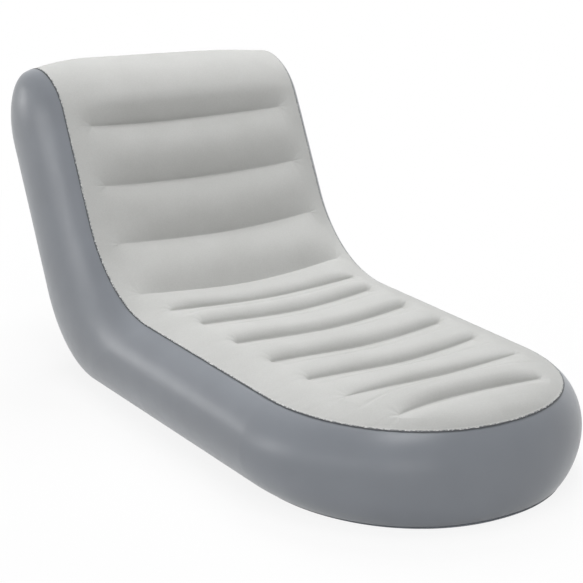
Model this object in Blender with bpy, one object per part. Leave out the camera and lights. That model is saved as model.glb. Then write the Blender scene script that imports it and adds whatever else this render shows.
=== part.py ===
"""Inflatable lounger: a flocked top sheet, a vinyl side band and a base sheet, welded into one air
chamber that eleven inner beams hold to shape, with a screw-in air valve on the rear.

Metres, +Z up. X runs across, the foot points to -Y, the backrest leans towards +Y, and the floor
is z = 0. The chamber's outline is a chain of stations that runs from the foot's tip along the seat,
up the backrest and over its rounded top, then down the rear and back along the floor.
"""
import bpy
import bmesh
import numpy as np
from math import cos, pi, radians, sin, sqrt, tan
from mathutils import Matrix, Vector

# Overall form, measured at the welded seams
HALF_WIDTH = 0.325
SEAT_RUN = 0.738
FOOT_DEPTH = 0.359
BASE_FOOT_DEPTH = 0.366
FOOT_ROUNDNESS = 2.12
FOOT_SEAM_HEIGHT = 0.209
CORNER_SEAM_HEIGHT = 0.222
LEAN = radians(26.6)
BACK_THICKNESS = 0.314
CROWN_CENTRE_HEIGHT = 0.580
SEAT_BEND_RADIUS = 0.343
BASE_BEND_RADIUS = 0.274

# Side band: how far it bulges past the seams, and how full its section is
SEAT_BULGE = 0.074
FOOT_BULGE = 0.033
BACK_BULGE = 0.064
BAND_FULLNESS = 1.5
CROWN_TAPER = 0.8
LAP_TURN = 0.22

# Top sheet's height over its seams, and the width over which it rises from them
SEAT_CREST = 0.036
BACK_CREST = 0.030
CROWN_CREST = 0.008
TOP_EDGE_ROUND = 0.140
REAR_CREST = 0.022
REAR_EDGE_ROUND = 0.050

# Sheets, welds and beams
SHEET = 0.0010
BEAM_SHEET = 0.0010
GAP = 0.0003
STRIP_HALF = 0.008
FLANGE_INSET = 0.0008
FLOOR_GROOVE = 0.006
FLOOR_CREST = 0.002
BASE_GROOVE_SAG = 0.004
REAR_LAP = 0.010
REAR_LAP_RELIEF = 0.002
REAR_LAP_BLEND = 0.020
REAR_LAP_SIDE = 0.006
END_CHANNEL = 0.060

# The eleven grooves, foot to crown: place along the top seam line, half length, height of their
# ends over the seams and how far their middles sag below their ends
GROOVE_PLACE_SHARES = (0.055, 0.129, 0.212, 0.289, 0.367, 0.457, 0.516, 0.584, 0.669, 0.753, 0.838)
GROOVE_HALF_SHARES = (0.572, 0.711, 0.702, 0.714, 0.723, 0.729, 0.788, 0.868, 0.840, 0.825, 0.822)
GROOVE_RISE_SHARES = (0.42, 0.68, 0.46, 0.36, 0.32, 0.34, 0.42, 0.10, 0.26, 0.10, 0.04)
GROOVE_SAG_SHARES = (-0.12, 0.30, 0.44, 0.44, 0.44, 0.44, 0.36, 0.58, 0.48, 0.36, 0.27)
SEAT_GROOVES = 7

# How far the middle of each pillow between them dips, from the foot pad, which is domed, to the crown
PILLOW_DISH_SHARES = (-0.33, -0.30, 0.08, 0.28, 0.22, 0.40, 0.28, 0.30, 0.15, 0.08, 0.04, 0.0)
DISH_HALF_SHARE = 0.72

# The base's last grooves: at the heel along the base line, then up the rear from the bend to the crown
HEEL_GROOVE_SHARE = 0.542
REAR_GROOVE_SHARES = (-0.0559, 0.5165, 0.8927)

# Rows of points across each pillow, and across those on the floor
CHANNEL_ROW_SHARES = (0.19, 0.50, 0.81)
FLOOR_ROW_SHARES = (0.25, 0.75)

# Steps of the curved stretches
FOOT_STEPS = 7
BEND_STEPS = 6
CROWN_STEPS = 6
REAR_SEAM_STEPS = 2
BAND_STEPS = 6

# Air valve
NECK_RADIUS = 0.0185
NECK_BORE = 0.0158
NECK_HEIGHT = 0.0050
VALVE_FLANGE_RADIUS = 0.0290
VALVE_FLANGE = 0.0014
NECK_CLEARANCE = 0.0004
VALVE_PATCH_HALF = 0.036
SEAL_RADIUS = 0.0195
SEAL_THICKNESS = 0.0015
HEAD_RADIUS = 0.0210
HEAD_THICKNESS = 0.0035
BARREL_RADIUS = 0.0152
BARREL_BORE = 0.0115
BARREL_END = 0.0095
SPIDER_THICKNESS = 0.0012
SPIDER_LEDGE = 0.0008
SPIDER_GROOVE = 0.0015
SLOT_RADIUS = 0.0030
SLOT_CIRCLE = 0.0072
SLOT_COUNT = 4
STEM_RADIUS = 0.0020
STEM_HEAD_RADIUS = 0.0032
STEM_HEAD = 0.0010
FLAP_THICKNESS = 0.0008
FLAP_TRAVEL = 0.0020
STOPPER_BORE = 0.0090
PLUG_TAPER = 0.0008
PLUG_DEPTH = 0.0040
STOPPER_RADIUS = 0.0130
STOPPER_THICKNESS = 0.0020
HINGE_OFFSET = 0.0175
HINGE_PIN = 0.0007
HINGE_WIDTH = 0.0080
ARM_RELIEF = 0.0002
EAR_WIDTH = 0.0025
EAR_TOP = 0.0014
TAB_WIDTH = 0.0070
TAB_REACH = 0.0045
GRIP_RADIUS = 0.0030
GRIP_CIRCLE = 0.0225
GRIP_COUNT = 10
ROUND_STEPS = 32
SMALL_STEPS = 16
OVERRUN = 0.002
SHARP_ANGLE = radians(35)
SAME_POINT = 0.00002

MATERIALS = {
    "flocked_vinyl": ((0.58, 0.58, 0.56), 0.95),
    "band_vinyl": ((0.24, 0.26, 0.29), 0.42),
    "base_vinyl": ((0.22, 0.24, 0.27), 0.48),
    "beam_vinyl": ((0.45, 0.46, 0.48), 0.50),
    "valve_plastic": ((0.30, 0.32, 0.35), 0.40),
    "seal_rubber": ((0.03, 0.03, 0.03), 0.60),
    "flap_silicone": ((0.60, 0.60, 0.60), 0.45),
}


def clear_scene():
    for thing in list(bpy.data.objects):
        bpy.data.objects.remove(thing, do_unlink=True)


def make_material(name):
    colour, roughness = MATERIALS[name]
    material = bpy.data.materials.new(name)
    material.use_nodes = True
    shader = material.node_tree.nodes["Principled BSDF"]
    shader.inputs["Base Color"].default_value = (*colour, 1.0)
    shader.inputs["Roughness"].default_value = roughness
    shader.inputs["Metallic"].default_value = 0.0
    return material


def new_object(name, mesh, material, parent=None):
    thing = bpy.data.objects.new(name, mesh)
    bpy.context.scene.collection.objects.link(thing)
    mesh.materials.append(material)
    thing.parent = parent
    return thing


def unit(vector):
    return vector / np.linalg.norm(vector)


def arc(centre, start, end, steps):
    """Points on the shorter arc from start to end, both included."""
    first = np.arctan2(start[1] - centre[1], start[0] - centre[0])
    last = np.arctan2(end[1] - centre[1], end[0] - centre[0])
    turn = (last - first + pi) % (2 * pi) - pi
    radius = np.linalg.norm(start - centre)
    angles = first + turn * np.linspace(0, 1, steps + 1)
    return centre + radius * np.stack([np.cos(angles), np.sin(angles)], axis=1)


def fillet(before, corner, after, radius, steps):
    """The round stretch of that radius in a corner, for two unit directions."""
    turn = np.arccos(np.clip(before @ after, -1, 1))
    reach = radius * tan(turn / 2)
    start = corner - before * reach
    end = corner + after * reach
    centre = start + radius * np.array([-before[1], before[0]])
    return arc(centre, start, end, steps)


def side_lines():
    """Side view (y, z) of the top and base seam lines behind the foot, station by station."""
    up = np.array([sin(LEAN), cos(LEAN)])
    inward = np.array([cos(LEAN), -sin(LEAN)])
    radius = BACK_THICKNESS / 2
    foot = np.array([0.0, FOOT_SEAM_HEIGHT])
    corner = np.array([SEAT_RUN, CORNER_SEAM_HEIGHT])
    climb = (CROWN_CENTRE_HEIGHT + radius * sin(LEAN) - CORNER_SEAM_HEIGHT) / cos(LEAN)
    crown = corner + up * climb + inward * radius
    tip = crown + up * radius
    rear = crown + inward * radius
    heel = rear - up * (rear[1] / up[1])
    seat_bend = fillet(unit(corner - foot), corner, up, SEAT_BEND_RADIUS, BEND_STEPS)
    base_bend = fillet(np.array([1.0, 0.0]), heel, up, BASE_BEND_RADIUS, BEND_STEPS)
    front_crown = arc(crown, crown - inward * radius, tip, CROWN_STEPS)
    rear_crown = arc(crown, rear, tip, CROWN_STEPS)
    top = np.vstack([foot, seat_bend, front_crown])
    base = np.vstack([[0.0, 0.0], base_bend, rear_crown])
    return top, base


def band_rails():
    """Right half of the side band: for each station, points from the top seam to the base seam."""
    top, base = side_lines()
    power = 2 / FOOT_ROUNDNESS
    turns = [pi / 2 * (1 - step / FOOT_STEPS) for step in range(FOOT_STEPS)]
    seams = []
    for turn in turns:
        across = HALF_WIDTH * max(cos(turn), 0) ** power if turn < pi / 2 else 0.0
        along = sin(turn) ** power
        bulge = SEAT_BULGE + (FOOT_BULGE - SEAT_BULGE) * sin(turn)
        seams.append(((across, -FOOT_DEPTH * along, FOOT_SEAM_HEIGHT),
                      (across, -BASE_FOOT_DEPTH * along, 0.0),
                      (cos(turn), -sin(turn), 0.0), bulge))
    bend_end = 1 + BEND_STEPS
    for place in range(len(top)):
        share = min(place / bend_end, 1.0)
        chord = np.linalg.norm(top[place] - base[place])
        bulge = SEAT_BULGE + (BACK_BULGE - SEAT_BULGE) * share
        if place > bend_end:
            bulge = BACK_BULGE * (chord / BACK_THICKNESS) ** CROWN_TAPER
        seams.append(((HALF_WIDTH, *top[place]), (HALF_WIDTH, *base[place]), (1.0, 0.0, 0.0), bulge))
    angles = np.array([0.0, *np.linspace(LAP_TURN, pi - LAP_TURN, BAND_STEPS + 1), pi])
    rails = np.zeros((len(seams), len(angles), 3))
    for place, (upper, lower, outward, bulge) in enumerate(seams):
        middle = (np.array(upper) + np.array(lower)) / 2
        half = (np.array(upper) - np.array(lower)) / 2
        swell = bulge * np.maximum(np.sin(angles), 0) ** BAND_FULLNESS
        rails[place] = middle + np.outer(np.cos(angles), half) + np.outer(swell, outward)
    rails[:, 0] = [seam[0] for seam in seams]
    rails[:, -1] = [seam[1] for seam in seams]
    return rails


class Outline:
    """The closed line of seam stations round the chamber, and heights measured from it."""

    def __init__(self):
        self.rails = band_rails()
        self.last = len(self.rails) - 1
        self.crown_tip = self.last
        self.rear_seam = self.last + REAR_SEAM_STEPS
        self.rear_bend = self.last + CROWN_STEPS + 1
        self.floor_start = 2 * self.last - FOOT_STEPS - 1
        self.edge = np.vstack([self.rails[:, 0], self.rails[-2::-1, -1]])
        self.lap = np.vstack([self.rails[:, 1], self.rails[-2::-1, -2]])
        steps = np.diff(self.edge[:, 1:], axis=0)
        lengths = np.linalg.norm(steps, axis=1)
        self.along = np.concatenate([[0.0], np.cumsum(lengths)])
        normals = np.stack([-steps[:, 1], steps[:, 0]], axis=1) / lengths[:, None]
        joined = np.vstack([normals[:1], normals[:-1] + normals[1:], normals[-1:]])
        self.normal = joined / np.linalg.norm(joined, axis=1)[:, None]
        self.place_grooves()
        self.centre_foot_to_back()

    def centre_foot_to_back(self):
        """Moves the outline along Y so that the finished lounger is centred on the origin."""
        rear_rows = self.places(self.seam_place, self.along[-1], self.base_grooves)
        low = self.rails[..., 1].min() + SHEET + GAP
        high = max(point[1] for place in rear_rows for point in self.row(place).values())
        shift = -(low + high) / 2
        for points in (self.rails, self.edge, self.lap):
            points[..., 1] += shift

    def place_grooves(self):
        """Distances along the outline of each beam's groove in the top and in the base."""
        top_length = self.along[self.crown_tip]
        self.top_grooves = [share * top_length for share in GROOVE_PLACE_SHARES]
        base_length = self.along[-1] - top_length
        floor_end = self.along[-1]
        base_tip = self.edge[-1, 1]
        self.base_grooves = []
        for place in self.top_grooves[:SEAT_GROOVES]:
            across_y = self.at(place, self.edge)[1]
            self.base_grooves.append(floor_end - (across_y - base_tip))
        self.base_grooves.append(floor_end - HEEL_GROOVE_SHARE * base_length)
        bend_top = self.along[self.rear_bend]
        rear_run = bend_top - self.along[self.rear_bend - 1]
        self.base_grooves += [bend_top - share * rear_run for share in REAR_GROOVE_SHARES]
        self.groove_half = [share * HALF_WIDTH for share in GROOVE_HALF_SHARES]
        ends = [0.0, *self.top_grooves, top_length]
        self.pillows = [(before + after) / 2 for before, after in zip(ends, ends[1:])]
        self.seam_place = self.along[self.rear_seam]
        self.valve_place = (self.base_grooves[-3] + self.base_grooves[-2]) / 2

    def at(self, place, points):
        return np.array([np.interp(place, self.along, column) for column in np.asarray(points).T])

    def foot_share(self, place):
        """0 behind the round foot, 1 at its tip."""
        depth = FOOT_DEPTH if place < self.along[self.crown_tip] else BASE_FOOT_DEPTH
        start = self.edge[FOOT_STEPS, 1]
        return min(max((start - self.at(place, self.edge)[1]) / depth, 0.0), 1.0)

    def from_seam(self, place, x):
        """Distance of a point of the sheet from the nearest seam."""
        ring = (abs(x) / HALF_WIDTH) ** FOOT_ROUNDNESS + self.foot_share(place) ** FOOT_ROUNDNESS
        return max(1 - ring ** (1 / FOOT_ROUNDNESS), 0.0) * HALF_WIDTH

    def crest(self, place, x):
        """Height of the sheet over its seams where no groove draws it in."""
        corner = FOOT_STEPS + 1
        straight = corner + BEND_STEPS
        tip = self.crown_tip
        rear = self.rear_bend - 1
        stations = (0, corner, straight, straight + 1, tip, self.rear_seam, rear, rear + 1,
                    rear + BEND_STEPS, rear + BEND_STEPS + 1)
        heights = (SEAT_CREST, SEAT_CREST, BACK_CREST, BACK_CREST, CROWN_CREST, CROWN_CREST,
                   REAR_CREST, REAR_CREST, FLOOR_CREST, FLOOR_CREST)
        spots = [self.along[min(station, len(self.along) - 1)] for station in stations]
        full = np.interp(place, spots, heights)
        width = np.interp(place, (self.along[tip], self.along[rear]), (TOP_EDGE_ROUND, REAR_EDGE_ROUND))
        rise = 1 - min(self.from_seam(place, x) / width, 1.0)
        dip = SEAT_CREST * np.interp(place, self.pillows, PILLOW_DISH_SHARES)
        return full * (1 - rise ** 2) - dip * max(1 - (x / (DISH_HALF_SHARE * HALF_WIDTH)) ** 2, 0.0)

    def groove_depth(self, number, top, x):
        """Height over the seams of a groove's bottom, at a distance x from its middle."""
        share = max(1 - (x / self.groove_half[number]) ** 2, 0.0)
        if top:
            return SEAT_CREST * (GROOVE_RISE_SHARES[number] - GROOVE_SAG_SHARES[number] * share)
        ends = FLOOR_GROOVE if number <= SEAT_GROOVES else 0.0
        return -(ends + BASE_GROOVE_SAG * share)

    def height(self, place, x):
        """Height of the sheet over its seams, drawn in at the grooves, pillowed between them."""
        top = place <= self.seam_place
        grooves = self.top_grooves if top else self.base_grooves
        order = range(len(grooves)) if top else range(len(grooves) - 1, -1, -1)
        known = [(grooves[number], number) for number in order]
        crest = self.crest(place, x)
        if abs(x) > self.half_groove(place) + GAP:
            return crest
        before = [entry for entry in known if entry[0] <= place]
        after = [entry for entry in known if entry[0] > place]
        near = []
        if before:
            near.append((place - before[-1][0] - STRIP_HALF, before[-1][1]))
        if after:
            near.append((after[0][0] - place - STRIP_HALF, after[0][1]))
        if len(near) == 2:
            half_channel = (after[0][0] - before[-1][0]) / 2 - STRIP_HALF
        else:
            half_channel = END_CHANNEL
        reach, number = min(near)
        share = 1 - min(max(reach, 0.0) / half_channel, 1.0)
        fullness = sqrt(1 - share ** 2)
        low = min(self.groove_depth(number, top, x), crest)
        return low + (crest - low) * fullness

    def half_groove(self, place):
        """Half length of the grooves near a place, which sets the sheet's inner columns."""
        grooves = self.top_grooves if place <= self.seam_place else self.base_grooves
        strips = sorted((spot + side * STRIP_HALF, half)
                        for spot, half in zip(grooves, self.groove_half) for side in (-1, 1))
        spots, halves = zip(*strips)
        width = self.at(place, self.edge)[0]
        return min(np.interp(place, spots, halves), width * max(GROOVE_HALF_SHARES))

    def point(self, place, x, inner=True, depth=0.0):
        """Point of the outer skin at a place along the outline, x from the middle."""
        edge = self.at(place, self.edge)
        normal = unit(self.at(place, self.normal))
        lift = self.height(place, x) if inner else 0.0
        y, z = edge[1:] + normal * (lift - depth)
        if place > self.seam_place:
            z = max(z, 0.0)
        return np.array([x, y, z])

    def row(self, place, narrower=0.0, depth=0.0):
        """One row of a sheet, from its left lap to its right lap, keyed by column."""
        edge = self.at(place, self.edge)
        width = max(edge[0] - narrower, 0.0)
        groove = min(self.half_groove(place), width)
        middle = (groove + width) / 2
        points = {0: self.point(place, 0.0, width > SHEET, depth)}
        for column, x in ((1, groove), (2, middle)):
            points[column] = self.point(place, x, width > SHEET and x < width, depth)
        points[3] = self.point(place, width, False, depth)
        if not narrower:
            points[4] = self.at(place, self.lap)
        for column in list(points):
            if column:
                points[-column] = points[column] * np.array([-1.0, 1.0, 1.0])
        return points

    def places(self, first, last, grooves):
        """Places of a sheet's rows: the stations, each groove's two edges and the pillows."""
        stations = [place for place in self.along if first - GAP <= place <= last + GAP]
        ordered = sorted(place for place in grooves if first < place < last)
        strips = [place + side * STRIP_HALF for place in ordered for side in (-1, 1)]
        pillows = []
        for before, after in zip(ordered, ordered[1:]):
            start = before + STRIP_HALF
            run = after - before - 2 * STRIP_HALF
            shares = FLOOR_ROW_SHARES if before > self.along[self.floor_start] else CHANNEL_ROW_SHARES
            extra = []
            if before < self.valve_place < after and last > self.seam_place:
                shares = (CHANNEL_ROW_SHARES[0], CHANNEL_ROW_SHARES[-1])
                extra = [self.valve_place - VALVE_PATCH_HALF, self.valve_place + VALVE_PATCH_HALF]
            pillows += [start + run * share for share in shares] + extra
        kept = stations + strips
        kept += [place for place in pillows if min(abs(place - other) for other in kept) > STRIP_HALF]
        return sorted(kept)


def skin_mesh(name, rows, inset):
    """A mesh skin through rows of keyed points, moved inwards by inset."""
    builder = bmesh.new()
    made = [{column: builder.verts.new(point) for column, point in row.items()} for row in rows]
    for row, following in zip(made, made[1:]):
        columns = sorted(set(row) & set(following))
        for left, right in zip(columns, columns[1:]):
            builder.faces.new((row[left], row[right], following[right], following[left]))
    bmesh.ops.remove_doubles(builder, verts=builder.verts, dist=SAME_POINT)
    bmesh.ops.triangulate(builder, faces=builder.faces)
    builder.normal_update()
    moves = [(vertex, vertex.normal * inset) for vertex in builder.verts]
    for vertex, move in moves:
        vertex.co -= move
    mesh = bpy.data.meshes.new(name)
    builder.to_mesh(mesh)
    builder.free()
    return mesh


def sheet_object(name, rows, inset, material):
    thing = new_object(name, skin_mesh(name, rows, inset), material)
    wall = thing.modifiers.new("wall", "SOLIDIFY")
    wall.thickness = SHEET
    wall.offset = -1.0
    thing.data.shade_smooth()
    return thing


def make_top_sheet(outline, material):
    places = outline.places(0.0, outline.seam_place, outline.top_grooves)
    return sheet_object("top_sheet", [outline.row(place) for place in places], 0.0, material)


def make_base_sheet(outline, material):
    """Rear and underside; its upper edge is tucked under the top sheet's."""
    seam = outline.seam_place
    under = SHEET + GAP
    tucked = [outline.row(seam - REAR_LAP, REAR_LAP_SIDE, under),
              outline.row(seam + REAR_LAP_RELIEF, REAR_LAP_SIDE, under),
              outline.row(seam + REAR_LAP_BLEND, REAR_LAP_SIDE)]
    places = outline.places(seam + REAR_LAP_BLEND, outline.along[-1], outline.base_grooves)
    rows = tucked + [outline.row(place) for place in places]
    return sheet_object("base_sheet", rows, 0.0, material)


def make_side_band(outline, material):
    """One strip from the crown's left end round the foot to its right end."""
    mirror = np.array([-1.0, 1.0, 1.0])
    sections = [section * mirror for section in outline.rails[:0:-1]] + list(outline.rails)
    rows = [dict(enumerate(section)) for section in sections]
    return sheet_object("side_band", rows, SHEET + GAP, material)


def clear_of_sheet(outline, place, x):
    """Both edges of a beam's flange under one groove, and the way inwards."""
    first = outline.point(place - STRIP_HALF, x)
    second = outline.point(place + STRIP_HALF, x)
    run = unit((second - first)[1:])
    inward = np.array([run[1], -run[0]])
    lift = inward * (SHEET + GAP)
    start = first[1:] + run * FLANGE_INSET + lift
    end = second[1:] - run * FLANGE_INSET + lift
    return start, end, inward


def beam_section(outline, number, x):
    """The I-shaped section of one beam in the plane x, as (y, z) points."""
    top_start, top_end, top_in = clear_of_sheet(outline, outline.top_grooves[number], x)
    low_start, low_end, low_in = clear_of_sheet(outline, outline.base_grooves[number], x)
    top_middle = (top_start + top_end) / 2 + top_in * BEAM_SHEET
    low_middle = (low_start + low_end) / 2 + low_in * BEAM_SHEET
    web = unit(low_middle - top_middle)
    side = np.array([-web[1], web[0]])
    if side @ (top_end - top_start) < 0:
        side = -side
    half = side * (BEAM_SHEET / 2)
    return [top_start, top_end, top_end + top_in * BEAM_SHEET, top_middle + half,
            low_middle + half, low_start + low_in * BEAM_SHEET, low_start,
            low_end, low_end + low_in * BEAM_SHEET, low_middle - half,
            top_middle - half, top_start + top_in * BEAM_SHEET]


# Faces that close a beam's end, by its section's corners: top flange, web, base flange
BEAM_END_FACES = ((0, 1, 3, 10), (1, 2, 3), (0, 10, 11), (3, 4, 9, 10), (4, 6, 7, 9), (4, 5, 6), (7, 8, 9))


def make_beam(outline, number, name, material):
    half = outline.groove_half[number]
    builder = bmesh.new()
    rings = []
    for x in (-half, 0.0, half):
        section = beam_section(outline, number, x)
        rings.append([builder.verts.new((x, *point)) for point in section])
    count = len(rings[0])
    for ring, following in zip(rings, rings[1:]):
        for corner in range(count):
            after = (corner + 1) % count
            builder.faces.new((ring[corner], ring[after], following[after], following[corner]))
    for ring in (rings[0], rings[-1]):
        for corners in BEAM_END_FACES:
            builder.faces.new([ring[corner] for corner in corners])
    bmesh.ops.triangulate(builder, faces=builder.faces)
    bmesh.ops.recalc_face_normals(builder, faces=builder.faces)
    mesh = bpy.data.meshes.new(name)
    builder.to_mesh(mesh)
    builder.free()
    return new_object(name, mesh, material)


def turned_mesh(name, profile, steps):
    """A closed solid of revolution about local Z from a closed (radius, height) outline."""
    builder = bmesh.new()
    rings = []
    for radius, height in profile:
        if radius < GAP:
            rings.append([builder.verts.new((0.0, 0.0, height))] * steps)
            continue
        ring = []
        for step in range(steps):
            angle = 2 * pi * step / steps
            ring.append(builder.verts.new((radius * cos(angle), radius * sin(angle), height)))
        rings.append(ring)
    for lower, upper in zip(rings, rings[1:] + rings[:1]):
        for step in range(steps):
            after = (step + 1) % steps
            corners = []
            for vertex in (lower[step], lower[after], upper[after], upper[step]):
                if vertex not in corners:
                    corners.append(vertex)
            if len(corners) > 2:
                builder.faces.new(corners)
    bmesh.ops.recalc_face_normals(builder, faces=builder.faces)
    mesh = bpy.data.meshes.new(name)
    builder.to_mesh(mesh)
    builder.free()
    mesh.shade_smooth()
    mesh.set_sharp_from_angle(angle=SHARP_ANGLE)
    return mesh


def box_mesh(name, low, high):
    builder = bmesh.new()
    bmesh.ops.create_cube(builder, size=1.0)
    size = Vector(high) - Vector(low)
    middle = (Vector(high) + Vector(low)) / 2
    bmesh.ops.scale(builder, vec=size, verts=builder.verts)
    bmesh.ops.translate(builder, vec=middle, verts=builder.verts)
    mesh = bpy.data.meshes.new(name)
    builder.to_mesh(mesh)
    builder.free()
    return mesh


def tool(name, mesh, parent, matrix=None):
    """A cutter or an added piece that is left out of the finished part."""
    thing = bpy.data.objects.new(name, mesh)
    bpy.context.scene.collection.objects.link(thing)
    thing.parent = parent
    if matrix is not None:
        thing.matrix_local = matrix
    thing.hide_render = True
    thing.display_type = "WIRE"
    return thing


def combine(thing, other, operation):
    step = thing.modifiers.new(other.name, "BOOLEAN")
    step.operation = operation
    step.solver = "EXACT"
    step.object = other


def valve_heights():
    """Levels along the valve's axis, from the sheet's outer face outwards."""
    seal_low = NECK_HEIGHT + GAP
    head_low = seal_low + SEAL_THICKNESS + GAP
    head_top = head_low + HEAD_THICKNESS
    stopper_low = head_top + GAP
    return seal_low, head_low, head_top, stopper_low


def make_valve_base(parent, material):
    """Moulded ring: a flange welded inside the sheet and a neck that stands out of it."""
    flange_top = -(SHEET + GAP)
    flange_low = flange_top - VALVE_FLANGE
    profile = [(NECK_BORE, flange_low), (VALVE_FLANGE_RADIUS, flange_low),
               (VALVE_FLANGE_RADIUS, flange_top), (NECK_RADIUS, flange_top),
               (NECK_RADIUS, NECK_HEIGHT), (NECK_BORE, NECK_HEIGHT)]
    return new_object("valve_base", turned_mesh("valve_base", profile, ROUND_STEPS), material, parent)


def make_seal_ring(parent, material):
    seal_low = valve_heights()[0]
    inner = BARREL_RADIUS + GAP
    profile = [(inner, seal_low), (SEAL_RADIUS, seal_low),
               (SEAL_RADIUS, seal_low + SEAL_THICKNESS), (inner, seal_low + SEAL_THICKNESS)]
    return new_object("seal_ring", turned_mesh("seal_ring", profile, ROUND_STEPS), material, parent)


def spider_levels():
    """Low and high face of the spider's groove in the barrel."""
    groove_low = -BARREL_END + SPIDER_LEDGE
    return groove_low, groove_low + SPIDER_GROOVE


def make_valve_body(parent, material):
    """Screw-in body: head with finger grips, barrel, stopper hole and two hinge ears."""
    _, head_low, head_top, stopper_low = valve_heights()
    groove_low, groove_top = spider_levels()
    groove_radius = BARREL_BORE + SPIDER_GROOVE
    throat = head_low - HEAD_THICKNESS / 2
    middle = head_low + HEAD_THICKNESS / 2
    profile = [(STOPPER_BORE, head_top), (STOPPER_BORE, throat), (BARREL_BORE, throat),
               (BARREL_BORE, groove_top), (groove_radius, groove_top), (groove_radius, groove_low),
               (BARREL_BORE, groove_low), (BARREL_BORE, -BARREL_END), (BARREL_RADIUS, -BARREL_END),
               (BARREL_RADIUS, head_low), (HEAD_RADIUS, head_low), (HEAD_RADIUS, head_top)]
    body = new_object("valve_body", turned_mesh("valve_body", profile, ROUND_STEPS), material, parent)
    axis = stopper_low + STOPPER_THICKNESS / 2
    reach = STOPPER_THICKNESS / 2 + GAP
    for side, label in ((-1, "left"), (1, "right")):
        near = side * (HINGE_WIDTH / 2 + GAP)
        far = near + side * EAR_WIDTH
        ear = tool("ear_" + label, box_mesh("ear_" + label,
                                            (min(near, far), -HINGE_OFFSET - reach, middle),
                                            (max(near, far), -HINGE_OFFSET + reach, axis + EAR_TOP)), parent)
        combine(body, ear, "UNION")
    turn = Matrix.Rotation(pi / 2, 4, "Y")
    width = HINGE_WIDTH / 2 + EAR_WIDTH + OVERRUN
    hole = turned_mesh("hinge_hole", [(0.0, -width), (HINGE_PIN + GAP, -width),
                                      (HINGE_PIN + GAP, width), (0.0, width)], SMALL_STEPS)
    cutter = tool("hinge_hole", hole, parent, Matrix.Translation((0.0, -HINGE_OFFSET, axis)) @ turn)
    combine(body, cutter, "DIFFERENCE")
    for number in range(GRIP_COUNT):
        angle = -pi / 2 + 2 * pi * (2 * number + 1) / (2 * GRIP_COUNT)
        if GRIP_CIRCLE * sin(angle) < -HINGE_OFFSET - GRIP_RADIUS:
            continue
        grip = turned_mesh("grip", [(0.0, head_low - OVERRUN), (GRIP_RADIUS, head_low - OVERRUN),
                                    (GRIP_RADIUS, head_top + OVERRUN), (0.0, head_top + OVERRUN)],
                           SMALL_STEPS)
        place = Matrix.Translation((GRIP_CIRCLE * cos(angle), GRIP_CIRCLE * sin(angle), 0.0))
        turned = place @ Matrix.Rotation(angle + pi / SMALL_STEPS, 4, "Z")
        combine(body, tool("grip_" + str(number), grip, parent, turned), "DIFFERENCE")
    return body


def make_flap_spider(parent, material):
    """Snap-in plate with four air slots that guides the check flap's stem."""
    groove_low, _ = spider_levels()
    low = groove_low + GAP
    high = low + SPIDER_THICKNESS - GAP
    radius = BARREL_BORE + SPIDER_GROOVE - GAP
    guide = STEM_RADIUS + GAP
    profile = [(guide, low), (radius, low), (radius, high), (guide, high)]
    spider = new_object("flap_spider", turned_mesh("flap_spider", profile, ROUND_STEPS), material, parent)
    for number in range(SLOT_COUNT):
        angle = 2 * pi * number / SLOT_COUNT
        slot = turned_mesh("slot", [(0.0, low - OVERRUN), (SLOT_RADIUS, low - OVERRUN),
                                    (SLOT_RADIUS, high + OVERRUN), (0.0, high + OVERRUN)], SMALL_STEPS)
        place = (SLOT_CIRCLE * cos(angle), SLOT_CIRCLE * sin(angle), 0.0)
        combine(spider, tool("slot_" + str(number), slot, parent, Matrix.Translation(place)), "DIFFERENCE")
    return spider


def make_check_flap(parent, material):
    """Soft mushroom valve: its disc closes the slots from inside the chamber."""
    groove_low, _ = spider_levels()
    spider_top = groove_low + SPIDER_THICKNESS
    top = groove_low
    low = top - FLAP_THICKNESS
    catch = spider_top + FLAP_TRAVEL + GAP
    radius = BARREL_BORE - GAP
    profile = [(0.0, low), (radius, low), (radius, top), (STEM_RADIUS, top), (STEM_RADIUS, catch),
               (STEM_HEAD_RADIUS, catch), (STEM_RADIUS, catch + STEM_HEAD), (0.0, catch + STEM_HEAD)]
    return new_object("check_flap", turned_mesh("check_flap", profile, ROUND_STEPS), material, parent)


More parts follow.
